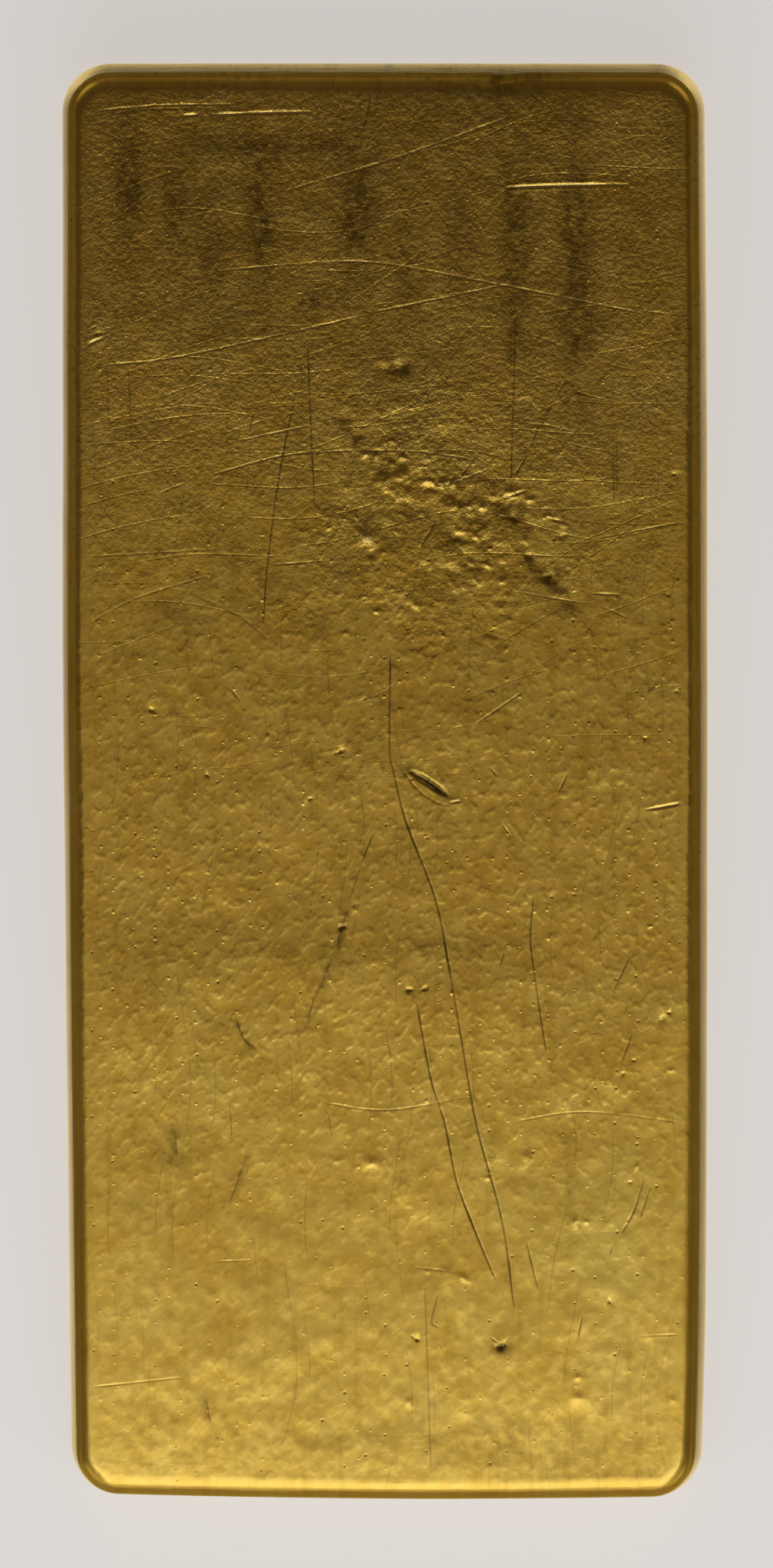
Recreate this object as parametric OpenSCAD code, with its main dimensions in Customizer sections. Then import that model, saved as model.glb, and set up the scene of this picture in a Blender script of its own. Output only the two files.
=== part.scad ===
// One-kilogram cast metal ingot, lying on its open face as it came out of the mould.
// The mould's floor gave the upper face, and the mould's drafted walls gave the sides.
// Origin at the middle of the underside, +Y along the bar, +Z up.

/* [Plan] */
// Length over the widest level, just above the underside
bar_length = 117; // [80:0.5:180]
// Width over the widest level
bar_width = 52.5; // [36:0.5:90]
// Plan radius of the four upright corners, at the widest level
corner_radius = 4; // [3.2:0.1:12]

/* [Section] */
// Height from the underside to the mould-side face
bar_thickness = 8.9; // [5:0.1:20]
// Lean of the walls from upright, so that the casting leaves its mould
wall_draft = 5; // [1:0.5:12]
// Round along the edge of the mould-side face
face_edge_radius = 1.4; // [0.5:0.1:2]
// Round along the edge of the open face, where the melt drew back from the wall
lip_radius = 0.9; // [0.4:0.1:2]

/* [Open face] */
// Depth that the open face sank as the metal froze
sink_depth = 0.35; // [0.1:0.05:1]
// Level land between the lip and the sink
land_width = 1.4; // [0.6:0.1:4]
// Distance over which the sink eases down to its full depth
sink_run = 7; // [3:0.5:12]

/* [Hidden] */
$fn = 96;

gold = [0.72, 0.55, 0.17];
cut_margin = 1;
// The wall's line runs this far inside both rounds, so that it crosses them rather than just touching
wall_bite = 0.0001;

// The wall section is drawn from the corner axis outwards, with the underside at zero
lip_centre = [corner_radius - lip_radius, lip_radius];
face_edge_centre = [
    lip_centre.x
        + (lip_radius - face_edge_radius
            - (bar_thickness - face_edge_radius - lip_radius) * sin(wall_draft)) / cos(wall_draft),
    bar_thickness - face_edge_radius
];
wall_normal = [cos(wall_draft), sin(wall_draft)];
core_length = bar_length - 2 * corner_radius;
core_width = bar_width - 2 * corner_radius;

// The sink is the cap of a large circle, level where it meets the middle of the face
sink_radius = (sink_run * sink_run + sink_depth * sink_depth) / (2 * sink_depth);
sink_inset = lip_radius + land_width + sink_run;
sink_length = bar_length - 2 * sink_inset;
sink_width = bar_width - 2 * sink_inset;

// Carries a section round a rectangle: straight along its sides and turned about its corners
module carried_round(length, width) {
    for (half_turn = [0, 180])
        rotate(half_turn) {
            translate([width / 2, 0, 0])
                rotate([90, 0, 0])
                    linear_extrude(length, center = true)
                        children();
            translate([0, length / 2, 0])
                rotate([90, 0, 90])
                    linear_extrude(width, center = true)
                        children();
            translate([width / 2, length / 2, 0])
                rotate_extrude(angle = 90)
                    children();
            translate([-width / 2, length / 2, 0])
                rotate(90)
                    rotate_extrude(angle = 90)
                        children();
        }
}

// A block that fills the rectangle inside a carried section
module core_block(length, width, bottom, top) {
    translate([-width / 2, -length / 2, bottom])
        cube([width, length, top - bottom]);
}

// Half of the bar's edge: lip, drafted wall and the round up to the mould-side face
module wall_section() {
    polygon([
        [0, 0],
        [lip_centre.x, 0],
        lip_centre + (lip_radius - wall_bite) * wall_normal,
        face_edge_centre + (face_edge_radius - wall_bite) * wall_normal,
        [face_edge_centre.x, bar_thickness],
        [0, bar_thickness]
    ]);
    translate(lip_centre)
        circle(lip_radius);
    translate(face_edge_centre)
        circle(face_edge_radius);
}

// Half of the hollow that shrinkage leaves in the open face
module sink_section() {
    intersection() {
        translate([0, sink_depth - sink_radius])
            circle(sink_radius);
        translate([0, -cut_margin])
            square([sink_run + cut_margin, sink_depth + 2 * cut_margin]);
    }
}

module casting_blank() {
    carried_round(core_length, core_width)
        wall_section();
    core_block(core_length, core_width, 0, bar_thickness);
}

module shrinkage_sink() {
    carried_round(sink_length, sink_width)
        sink_section();
    core_block(sink_length, sink_width, -cut_margin, sink_depth);
}

module ingot() {
    color(gold)
        difference() {
            casting_blank();
            shrinkage_sink();
        }
}

ingot();
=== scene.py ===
# %% [markdown]
# # A cast gold ingot
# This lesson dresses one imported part: a flat ingot, cast in an open mould and turned out of it. The solid
# already has the size, the drafted walls and the rounds. What it lacks is what the eye reads as cast metal:
# a skin that froze against the mould, the marks of years of handling, and light for it to mirror.

import functools
import math

import bpy
import numpy as np
from mathutils import Matrix, Vector
from mathutils.geometry import delaunay_2d_cdt


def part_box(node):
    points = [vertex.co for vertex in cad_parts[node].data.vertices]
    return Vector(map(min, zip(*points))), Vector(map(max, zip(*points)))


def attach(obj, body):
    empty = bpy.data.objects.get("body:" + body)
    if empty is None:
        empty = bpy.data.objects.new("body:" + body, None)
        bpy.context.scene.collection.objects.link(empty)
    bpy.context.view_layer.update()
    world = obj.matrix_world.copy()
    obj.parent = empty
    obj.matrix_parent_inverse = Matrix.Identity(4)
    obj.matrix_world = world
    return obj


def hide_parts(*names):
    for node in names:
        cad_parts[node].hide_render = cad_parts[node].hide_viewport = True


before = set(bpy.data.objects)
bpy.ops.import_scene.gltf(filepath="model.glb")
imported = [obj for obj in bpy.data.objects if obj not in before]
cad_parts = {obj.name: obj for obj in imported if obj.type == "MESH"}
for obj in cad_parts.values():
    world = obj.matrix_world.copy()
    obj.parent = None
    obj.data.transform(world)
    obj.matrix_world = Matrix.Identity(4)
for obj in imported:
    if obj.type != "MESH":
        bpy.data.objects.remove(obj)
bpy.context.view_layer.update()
MM = 0.001
half_width, half_length, thickness = np.array(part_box("ingot")[1]) / MM
print(f"ingot: {2 * half_width:.1f} x {2 * half_length:.1f} x {thickness:.1f} mm")

# %% [markdown]
# ## The camera
# The ingot is looked at from almost straight above, leaning a few degrees towards its far end, so the wall
# at that end shows and the near one hides. All four sides look much alike, which a near lens can't give, so
# the camera is a long lens two metres away. A pixel of the photograph is then a ray, and following that ray
# down to the upper face says where a scratch belongs on the metal.


# %% Set the camera
def placed(name, data):
    """A new object in the scene, at the origin."""
    made = bpy.data.objects.new(name, data)
    bpy.context.scene.collection.objects.link(made)
    return made


PHOTO_WIDTH, PHOTO_HEIGHT = 1010, 2048
SENSOR = 36.0
VIEW_DISTANCE = 2.0
VIEW_LENGTH = 0.1271
LEAN_TO_FAR_END = math.radians(3.1)
LEAN_TO_RIGHT = math.radians(0.6)
AIM = Vector((0.2 * MM, 0.3 * MM, thickness * MM))

toward_eye = Vector((math.tan(LEAN_TO_RIGHT), math.tan(LEAN_TO_FAR_END), 1)).normalized()
to_right = Vector((0, 1, 0)).cross(toward_eye).normalized()
upward = toward_eye.cross(to_right)
eye = AIM + toward_eye * VIEW_DISTANCE
eye_axes = Matrix((to_right, upward, toward_eye)).transposed()

lens = bpy.data.cameras.new("camera")
lens.sensor_width = SENSOR
lens.lens = SENSOR * VIEW_DISTANCE / VIEW_LENGTH
camera = placed("camera", lens)
camera.matrix_world = Matrix.Translation(eye) @ eye_axes.to_4x4()
bpy.context.scene.camera = camera


def on_upper_face(pixels):
    """Millimetres on the upper face, for pixels of the photograph.
    A pixel's offset from the middle, as a share of the lens, is its ray; the face's level cuts the ray."""
    offset = np.asarray(pixels, float) - [PHOTO_WIDTH / 2, PHOTO_HEIGHT / 2]
    slope = offset * [1, -1] * SENSOR / PHOTO_HEIGHT / lens.lens
    rays = np.column_stack([slope, -np.ones(len(slope))]) @ np.array(eye_axes).T
    reach = (thickness * MM - eye.z) / rays[:, 2:]
    return (np.array(eye.xy) + rays[:, :2] * reach) / MM


PIXELS_PER_MM = PHOTO_HEIGHT * MM / VIEW_LENGTH
print(f"camera: {lens.lens:.0f} mm lens, {PIXELS_PER_MM:.2f} pixels of the photograph to a millimetre")

# %% [markdown]
# ## The section of the edge
# A mould's wall leans outwards so that the casting drops out. From the underside up, the edge is a small
# lip, the leaning wall and a round up to the face that froze on the mould's floor. One profile of that
# edge, carried round the plan, gives all four sides and corners, and no corner needs work of its own.

# %% Draw the edge and the plan it is carried round
CORNER_RADIUS = 4.0
WALL_DRAFT = math.radians(5)
FACE_EDGE_RADIUS = 1.4
LIP_RADIUS = 0.9
FACE_ALLOWANCE = 0.13  # how far the plain face lies under the solid's, to leave room for its lumps
PLAN_STEP = 0.5
CORNER_STEPS = 16
LIP_STEPS, WALL_STEPS, ROUND_STEPS = 6, 8, 11

face_level = thickness - FACE_ALLOWANCE
lip_centre = np.array([CORNER_RADIUS - LIP_RADIUS, LIP_RADIUS])
round_height = face_level - FACE_EDGE_RADIUS
wall_normal = np.array([math.cos(WALL_DRAFT), math.sin(WALL_DRAFT)])
drawn_in = (round_height - LIP_RADIUS) * wall_normal[1]
round_reach = lip_centre[0] + (LIP_RADIUS - FACE_EDGE_RADIUS - drawn_in) / wall_normal[0]
round_centre = np.array([round_reach, round_height])


def arc(centre, radius, start, end, steps):
    """Points of a circle: centre plus radius times (cosine, sine) of angles from start to end."""
    turn = np.linspace(start, end, steps)[:, None]
    return centre + radius * np.hstack([np.cos(turn), np.sin(turn)])


def edge_profile():
    """(reach, height) up the edge: the lip's arc, the straight wall and the round's arc, with no kink.
    Reach is counted from the axis of the plan's corner."""
    lip = arc(lip_centre, LIP_RADIUS, -math.pi / 2, WALL_DRAFT, LIP_STEPS)
    top_round = arc(round_centre, FACE_EDGE_RADIUS, WALL_DRAFT, math.pi / 2, ROUND_STEPS)
    wall = np.linspace(lip[-1], top_round[0], WALL_STEPS)[1:-1]
    return np.vstack([lip, wall, top_round])


def plan_path():
    """(anchor, outward, quarter) round the plan, anticlockwise from the right side's near end.
    The anchor walks each side of the core rectangle, and waits at a corner while outward turns."""
    core = np.array([half_width, half_length]) - CORNER_RADIUS
    anchors, outwards, quarters = [], [], []
    for quarter in range(4):
        heading = quarter * math.pi / 2
        across, along = (core[0], core[1]) if quarter % 2 == 0 else (core[1], core[0])
        turned = np.array([[math.cos(heading), math.sin(heading)], [-math.sin(heading), math.cos(heading)]])
        side = np.linspace(-along, along, round(2 * along / PLAN_STEP), endpoint=False)
        anchors += [np.column_stack([np.full_like(side, across), side]) @ turned,
                    np.tile([across, along] @ turned, (CORNER_STEPS, 1))]
        bend = heading + np.linspace(0, math.pi / 2, CORNER_STEPS, endpoint=False)
        outwards += [np.tile([math.cos(heading), math.sin(heading)], (len(side), 1)),
                     np.column_stack([np.cos(bend), np.sin(bend)])]
        quarters.append(np.full(len(side) + CORNER_STEPS, quarter))
    return np.vstack(anchors), np.vstack(outwards), np.concatenate(quarters)


profile = edge_profile()
anchor, outward, quarter_of = plan_path()
print(f"edge: {len(profile)} points up the section, {len(anchor)} round the plan")

# %% [markdown]
# ## What the mould and the freezing left
# No casting is as true as its drawing. The long sides bow out a little and draw in towards the near end,
# the near end is a shade convex, and the face is gently uneven. Numpy has no noise of its own, so random
# heights on a lattice are blended with cubic B-splines: that is smooth, quick on whole arrays and the same
# on every run.

# %% Make smooth unevenness
SPLINE_SPREAD = 0.479  # spread of white noise after the splines have blended it


def eased(values, start, end):
    """Smooth step: 0 up to start, 1 from end on, and 3t^2 - 2t^3 between them."""
    t = np.clip((values - start) / (end - start), 0, 1)
    return t * t * (3 - 2 * t)


def uneven(places, spacing, seed):
    """Heights of a smooth random surface with a mean of about 0 and a spread of about 1.
    Each knot of a lattice has a random height; a place blends the 4 by 4 nearest with B-spline weights."""
    lattice = np.asarray(places) / spacing
    knot = np.floor(lattice).astype(int)
    t = lattice - knot
    weights = np.stack([(1 - t) ** 3, 3 * t**3 - 6 * t**2 + 4, -3 * t**3 + 3 * t**2 + 3 * t + 1, t**3]) / 6
    reach = np.ceil(4 * half_length / np.array(spacing)).astype(int) + 3
    heights = np.random.default_rng(seed).standard_normal(2 * reach)
    total = np.zeros(len(lattice))
    for i in range(4):
        for j in range(4):
            height = heights[knot[:, 0] + reach[0] + i - 1, knot[:, 1] + reach[1] + j - 1]
            total += height * weights[i, :, 0] * weights[j, :, 1]
    return total / SPLINE_SPREAD


print(f"unevenness: a spread of {uneven(anchor, (7, 9), 32).std():.2f} round the plan")

# %% Warp the plan
NEAR_LEFT_DRAW = 0.64
NEAR_RIGHT_DRAW = 0.36
FAR_RIGHT_DRAW = 0.25
NEAR_END_BOW = 0.25
BOW_MIDDLE, BOW_HALF_SPAN = 4.0, 22.0
# where each draw begins, as a share of the half length from the middle to the far end
LEFT_DRAW_FROM, NEAR_RIGHT_DRAW_FROM, FAR_RIGHT_DRAW_FROM = 0.2, -0.3, 0.4
LEFT_DRAW_RUN, NEAR_RIGHT_DRAW_RUN = 1.1, 0.6


def warped(points):
    """Plan places after the casting's own warp: each side is drawn in by a share of its width that changes
    along the length, and the near end is rounded by a parabola across its width."""
    x, y = points[:, 0], points[:, 1]
    t = y / half_length
    left = NEAR_LEFT_DRAW * np.clip((LEFT_DRAW_FROM - t) / LEFT_DRAW_RUN, 0, None) ** 1.2
    near_right = NEAR_RIGHT_DRAW * np.clip((NEAR_RIGHT_DRAW_FROM - t) / NEAR_RIGHT_DRAW_RUN, 0, None) ** 3
    right = FAR_RIGHT_DRAW * eased(t, FAR_RIGHT_DRAW_FROM, 1) + near_right
    bow = NEAR_END_BOW * ((x - BOW_MIDDLE) / BOW_HALF_SPAN) ** 2 * np.clip(-t, 0, None)
    moved = points.copy()
    moved[:, 0] = x * (1 - np.where(x < 0, left, right) / half_width)
    moved[:, 1] = y * (1 - bow / half_length)
    return moved


def on_plan(pixels):
    """Plan places that the warp carries to these pixels: the warp is small, so it is taken off once."""
    seen = on_upper_face(pixels)
    return 2 * seen - warped(seen)


print(f"warp: sides drawn in by up to {NEAR_LEFT_DRAW} mm, near end bowed by {NEAR_END_BOW} mm")

# %% [markdown]
# ## The marks of handling
# Gold is soft, so an ingot that has been stacked and slid about for years is covered with marks. The ones
# that stand out are each set down here, as a few pixels of the photograph with a smooth curve through
# them. Under the light, a groove that runs across the ingot catches it and shines, and one that runs along
# the ingot stays dark. Bumps in the material could draw them too, but cut into the mesh they hold from
# every side.

# %% Set down the marks, in pixels of the photograph
LONG_CUTS = [
    [(510, 850), (509, 974), (515, 1010), (531, 1074), (569, 1174), (587, 1264), (602, 1351), (623, 1470),
     (656, 1594), (672, 1710)],
    [(544, 1306), (563, 1408), (581, 1466), (596, 1540), (617, 1598), (648, 1673)],
]
FINE_CUTS = [
    [(687, 1619), (703, 1685)], [(697, 1169), (693, 1222), (698, 1270), (714, 1377)],
    [(402, 448), (406, 551), (411, 658)], [(386, 510), (364, 625), (349, 741), (344, 815)],
    [(674, 413), (669, 580), (668, 638)], [(483, 100), (483, 126), (480, 150), (473, 172)],
    [(301, 900), (312, 914)], [(488, 1087), (473, 1125)], [(411, 1299), (401, 1338)],
    [(309, 1332), (318, 1355), (329, 1367)], [(742, 1010), (729, 1038)], [(660, 1241), (653, 1262)],
    [(822, 1251), (801, 1296)], [(627, 590), (592, 636)], [(571, 680), (548, 717)],
    [(740, 495), (728, 516)], [(722, 527), (710, 545)], [(704, 556), (692, 586)], [(688, 596), (668, 628)],
    [(812, 1388), (826, 1350)], [(330, 540), (326, 566)], [(640, 1003), (650, 1014)],
    [(761, 1718), (755, 1747)], [(441, 1236), (443, 1222), (450, 1203)], [(850, 1550), (836, 1592)],
    [(800, 1626), (797, 1640)], [(640, 1747), (650, 1754), (657, 1761)],
    [(665, 1746), (657, 1760), (652, 1769)], [(536, 1744), (547, 1752)],
    [(572, 1690), (564, 1726), (574, 1734)], [(842, 1538), (829, 1580), (812, 1612)],
]
FAINT_CUTS = [
    [(124, 151), (200, 143), (290, 142)], [(473, 1125), (458, 1172), (449, 1205)],
    [(437, 1242), (424, 1275), (411, 1299)], [(428, 1450), (434, 1485)], [(229, 1479), (231, 1512)],
    [(322, 1507), (298, 1578)], [(555, 1681), (559, 1797), (563, 1916)], [(269, 1826), (275, 1859)],
    [(190, 1270), (216, 1303)], [(801, 580), (802, 658)], [(245, 774), (309, 803), (351, 836)],
    [(140, 478), (142, 560)], [(168, 482), (171, 575)], [(806, 560), (806, 650)],
    [(300, 1440), (303, 1490)],
]
LIGHT_SCRATCHES = [
    [(370, 250), (520, 205), (664, 153)], [(283, 354), (387, 345), (490, 343), (644, 370), (838, 409)],
    [(483, 409), (670, 370)], [(132, 477), (222, 468), (354, 440), (480, 411)],
    [(274, 621), (370, 595), (464, 588)], [(464, 588), (547, 590), (616, 600)], [(204, 646), (245, 629)],
    [(283, 569), (353, 546)], [(296, 579), (407, 555)], [(354, 738), (432, 732)],
    [(669, 551), (711, 555), (753, 564)], [(776, 704), (890, 682)], [(785, 791), (822, 808)],
    [(669, 772), (763, 788)], [(772, 775), (813, 777)], [(618, 948), (660, 919), (685, 902)],
    [(656, 1076), (668, 1093)], [(124, 145), (200, 138), (309, 136)], [(115, 432), (128, 424)],
    [(120, 163), (141, 157)], [(545, 622), (580, 633), (640, 612)],
]
SOFT_SCRATCHES = [
    [(116, 727), (303, 716)], [(103, 822), (174, 783), (280, 749)], [(420, 1440), (505, 1450), (612, 1433)],
    [(670, 1466), (736, 1454), (794, 1454), (889, 1466)], [(110, 1813), (240, 1799)],
    [(836, 1745), (895, 1743)], [(280, 1648), (330, 1646)], [(540, 1655), (600, 1662)],
]
BRIGHT_NICKS = [
    [(238, 151), (259, 150)], [(275, 150), (320, 148)], [(316, 148), (350, 147), (408, 146)],
    [(657, 245), (740, 242), (825, 241)], [(843, 1058), (903, 1047)], [(656, 651), (689, 640)],
    [(711, 675), (747, 685)], [(110, 452), (137, 440)],
]
GOUGE = [(535, 1006), (560, 1022), (587, 1041)]
GOUGE_LIP = [(515, 990), (528, 1009), (550, 1035), (575, 1050), (592, 1052)]
GOUGE_TIP = [(586, 1049), (603, 1046)]

paths_drawn = LONG_CUTS + FINE_CUTS + FAINT_CUTS + LIGHT_SCRATCHES + SOFT_SCRATCHES + BRIGHT_NICKS
print(f"marks: {len(paths_drawn) + 3} drawn by hand, the gouge with its lip and tip among them")

# %% Carry the marks to the ingot
PATH_STEP = 0.3
PATH_SAMPLES = 12


def run_along(points):
    """Length run from the first point to each: the running sum of the distances between neighbours."""
    return np.concatenate([[0], np.cumsum(np.hypot(*np.diff(points, axis=0).T))])


def smooth_path(pixels):
    """Cubic curve through the places of these pixels, taken again at even steps of its length.
    At each place it heads the way that leads from the place before to the one after."""
    places = on_plan(pixels)
    padded = np.vstack([2 * places[0] - places[1], places, 2 * places[-1] - places[-2]])
    before, here, there, after = (padded[i:len(padded) - 3 + i, None, :] for i in range(4))
    t = np.linspace(0, 1, PATH_SAMPLES, endpoint=False)[None, :, None]
    curve = here + 0.5 * ((there - before) * t + (2 * before - 5 * here + 4 * there - after) * t**2
                          + (3 * here - before - 3 * there + after) * t**3)
    curve = np.vstack([curve.reshape(-1, 2), places[-1:]])
    run = run_along(curve)
    even = np.linspace(0, run[-1], max(4, math.ceil(run[-1] / PATH_STEP) + 1))
    return np.column_stack([np.interp(even, run, curve[:, 0]), np.interp(even, run, curve[:, 1])])


# the fourth number darkens a mark with packed dirt; in the gouge it is also painted shadow
MARK_KINDS = {  # paths, half the width, depth, and how dirty and how bare of old skin it is
    "long cut": (LONG_CUTS, 0.12, 0.040, 0.8, 0.0),
    "fine cut": (FINE_CUTS, 0.10, 0.030, 0.9, 0.0),
    "faint cut": (FAINT_CUTS, 0.10, 0.008, 0.5, 0.0),
    "light scratch": (LIGHT_SCRATCHES, 0.08, 0.032, 0.0, 0.8),
    "soft scratch": (SOFT_SCRATCHES, 0.11, 0.010, 0.0, 0.25),
    "bright nick": (BRIGHT_NICKS, 0.16, 0.065, 0.0, 1.0),
    # the gouge's slit is dark with dirt and with painted shadow, over the wall that would catch the light
    "gouge": ([GOUGE], 0.34, 0.26, 1.0, 0.0),
    "gouge lip": ([GOUGE_LIP], 0.10, 0.030, 0.45, 0.0),
    "gouge tip": ([GOUGE_TIP], 0.14, 0.050, 0.0, 1.0),
}
marks = [(smooth_path(pixels), *nature) for paths, *nature in MARK_KINDS.values() for pixels in paths]
mark_length = sum(PATH_STEP * (len(path) - 1) for path, *_ in marks)
print(f"marks: {len(marks)} paths, {mark_length:.0f} mm in all")

# %% [markdown]
# Where the first metal met the mould it froze in folds: a patch of lumps above the middle of the ingot.
# Other lumps and pits are scattered over the face. Each is a soft round bump, so a place, a radius and a
# height say it all.

# %% Set down the lumps and pits, in pixels of the photograph, with radius and height in millimetres
LUMPS = [
    (476, 594, 0.34, 0.080), (490, 598, 0.30, 0.070), (513, 606, 0.34, 0.085), (528, 597, 0.32, 0.085),
    (505, 631, 0.38, 0.075), (560, 630, 0.34, 0.080), (575, 632, 0.42, 0.100), (592, 634, 0.34, 0.080),
    (594, 658, 0.36, 0.080), (612, 664, 0.34, 0.085), (630, 662, 0.32, 0.080), (646, 648, 0.36, 0.085),
    (668, 644, 0.36, 0.075), (692, 652, 0.42, 0.085), (716, 676, 0.36, 0.070), (736, 684, 0.34, 0.070),
    (480, 700, 0.75, 0.150), (624, 700, 0.32, 0.070), (640, 716, 0.30, 0.065), (636, 738, 0.36, 0.070),
    (612, 736, 0.30, 0.055), (685, 706, 0.34, 0.055), (511, 575, 0.34, 0.060), (500, 470, 0.45, 0.045),
    (450, 640, 0.30, 0.045), (430, 690, 0.34, 0.045), (560, 600, 0.26, 0.045), (655, 760, 0.30, 0.050),
    (540, 790, 0.34, 0.045), (490, 800, 0.30, 0.045), (580, 830, 0.30, 0.045), (450, 830, 0.30, 0.040),
    (488, 1520, 0.72, 0.060), (687, 1514, 0.78, 0.050), (637, 1540, 0.34, 0.038), (606, 1669, 0.52, 0.040),
    (755, 1826, 0.42, 0.040), (536, 1833, 0.46, 0.034), (832, 1525, 0.26, 0.036), (753, 1598, 0.34, 0.040),
    (768, 1596, 0.26, 0.034), (466, 1187, 0.26, 0.045), (351, 961, 0.24, 0.038), (875, 1396, 0.26, 0.034),
    (585, 1663, 0.60, 0.034), (106, 1350, 0.30, 0.040), (115, 1480, 0.28, 0.036), (755, 1800, 0.34, 0.032),
    (560, 1660, 0.40, 0.028), (880, 1830, 0.40, 0.030), (440, 1518, 0.40, 0.028), (110, 1465, 0.26, 0.036),
    (850, 1211, 0.20, 0.036), (894, 1234, 0.22, 0.040), (877, 1268, 0.20, 0.030), (886, 685, 0.16, 0.034),
    (876, 812, 0.16, 0.034), (878, 837, 0.18, 0.030), (884, 862, 0.16, 0.034), (868, 885, 0.20, 0.036),
    (890, 1010, 0.18, 0.030), (888, 1165, 0.18, 0.030), (896, 1320, 0.20, 0.036), (892, 1530, 0.18, 0.034),
    (104, 1010, 0.20, 0.034), (108, 1180, 0.18, 0.030), (112, 1290, 0.20, 0.034), (118, 1610, 0.22, 0.034),
]
PITS = [
    (198, 927, 0.22, 0.070), (443, 983, 0.22, 0.080), (272, 1013, 0.16, 0.050), (448, 1212, 0.28, 0.100),
    (536, 1292, 0.22, 0.090), (552, 1293, 0.20, 0.080), (866, 1330, 0.20, 0.070), (656, 1759, 0.36, 0.140),
    (545, 1751, 0.18, 0.060), (671, 675, 0.40, 0.080), (714, 754, 0.50, 0.080), (520, 480, 0.42, 0.070),
    (690, 725, 0.45, 0.080), (735, 700, 0.30, 0.050), (605, 735, 0.40, 0.060), (486, 722, 0.40, 0.060),
    (405, 1042, 0.14, 0.050), (797, 1700, 0.16, 0.050), (465, 570, 0.35, 0.050), (112, 424, 0.36, 0.065),
    (128, 436, 0.30, 0.055), (873, 1324, 0.18, 0.055), (815, 1402, 0.18, 0.055), (828, 1385, 0.16, 0.045),
    (824, 1542, 0.18, 0.045), (880, 620, 0.20, 0.050), (872, 780, 0.16, 0.045), (843, 962, 0.18, 0.050),
    (884, 905, 0.16, 0.045),
]
BUMP_STEEPNESS = 1.2
BUMP_RAGGEDNESS = 0.1
BUMP_STRETCH = (1.2, 0.9)
FOLDS_AT = (575, 672)
FOLDS_REACH = np.array([13.0, 13.6])
FOLD_TROUGHS = [[(648, 652), (668, 668), (690, 688)], [(684, 710), (703, 738), (728, 765), (748, 790)],
                [(572, 684), (592, 704), (622, 738)], [(508, 484), (528, 480)], [(452, 548), (470, 566)]]
FOLD_RIDGES = [[(452, 560), (500, 598), (560, 632), (612, 664), (650, 650), (692, 652), (745, 686)],
               [(612, 664), (632, 700), (640, 740)], [(470, 690), (495, 715)]]


def bumps(places, spots):
    """Sum of soft bumps, a little wider than long: height times exp(-(distance / radius)^2) for each spot.
    The places are first shifted by noise, which makes the bumps ragged."""
    spots = np.array(spots)
    centres, (radius, height) = on_plan(spots[:, :2]), spots.T[2:]
    shift = np.column_stack([uneven(places, (0.45, 0.4), seed) for seed in (48, 49)])
    ragged = places + BUMP_RAGGEDNESS * shift
    apart = np.hypot(*((ragged[:, None, :] - centres[None]) / BUMP_STRETCH).transpose(2, 0, 1))
    return (BUMP_STEEPNESS * height * np.exp(-(apart * BUMP_STEEPNESS / radius) ** 2)).sum(axis=1)


print(f"bumps: {len(LUMPS)} lumps and {len(PITS)} pits")

# %% [markdown]
# ## The skin
# The skin is one closed surface in three parts. The edge is a grid, profile by plan. The upper face and the
# underside are height functions over the plan, on loose points that are joined into the fattest triangles
# they allow, so that a face can have points packed along a scratch and few where it is plain.

# %% Build the edge grid
reach, height = profile[:, 0], profile[:, 1]
edge_plan = anchor[:, None, :] + outward[:, None, :] * reach[None, :, None]
edge_heights = np.broadcast_to(height[None, :, None], (*edge_plan.shape[:2], 1))
edge_grid = np.concatenate([edge_plan, edge_heights], axis=2)
rim_of_face = edge_grid[:, -1, :2].copy()
rim_of_underside = edge_grid[:, 0, :2].copy()
print(f"edge: a grid of {edge_grid.shape[0]} by {edge_grid.shape[1]} points")

# %% Dent the edge where it was knocked
FAR_EDGE_DENT = on_plan([(655, 106)])[0]
DENT_REACH = np.array([1.2, 0.75])
DENT_DEPTH = 0.26
DENT_TEAR = 0.45
WOBBLE = 0.035
KNOCKS = 60
KNOCK_DEPTH = 0.06
KNOCK_HALF_HEIGHT = 0.5
KNOCK_HEIGHTS = (0.45, 1.0)  # as shares of the face's level
KNOCK_SIZES = (0.3, 0.9)
LIP_KEPT = 0.6

edge_places = edge_grid[:, :, :2].reshape(-1, 2)
edge_inward = np.zeros(edge_grid.shape[:2])
in_dent = np.exp(-(((edge_places - FAR_EDGE_DENT) / DENT_REACH) ** 2).sum(axis=1))
torn = 1 + DENT_TEAR * uneven(edge_places, (0.5, 0.4), 31)
edge_inward += (DENT_DEPTH * in_dent * torn).reshape(edge_inward.shape)

run_round = run_along(rim_of_underside)
on_edge = np.column_stack([np.repeat(run_round, len(profile)), np.tile(height, len(run_round))])
wobble = np.clip(uneven(on_edge - [run_round[-1] / 2, 0], (7, 9), 32), -1, 1)
edge_inward += WOBBLE * (1 + wobble).reshape(edge_inward.shape) / 2

knock_random = np.random.default_rng(33)
knock_run = knock_random.uniform(0, run_round[-1], KNOCKS)
knock_height = knock_random.uniform(*KNOCK_HEIGHTS, KNOCKS) * face_level
knock_size = knock_random.uniform(*KNOCK_SIZES, KNOCKS)
knock_along = (on_edge[:, None, 0] - knock_run) / knock_size
knock_apart = knock_along**2 + ((on_edge[:, None, 1] - knock_height) / KNOCK_HALF_HEIGHT) ** 2
edge_inward += (KNOCK_DEPTH * knock_size * np.exp(-knock_apart)).sum(axis=1).reshape(edge_inward.shape)

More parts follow.
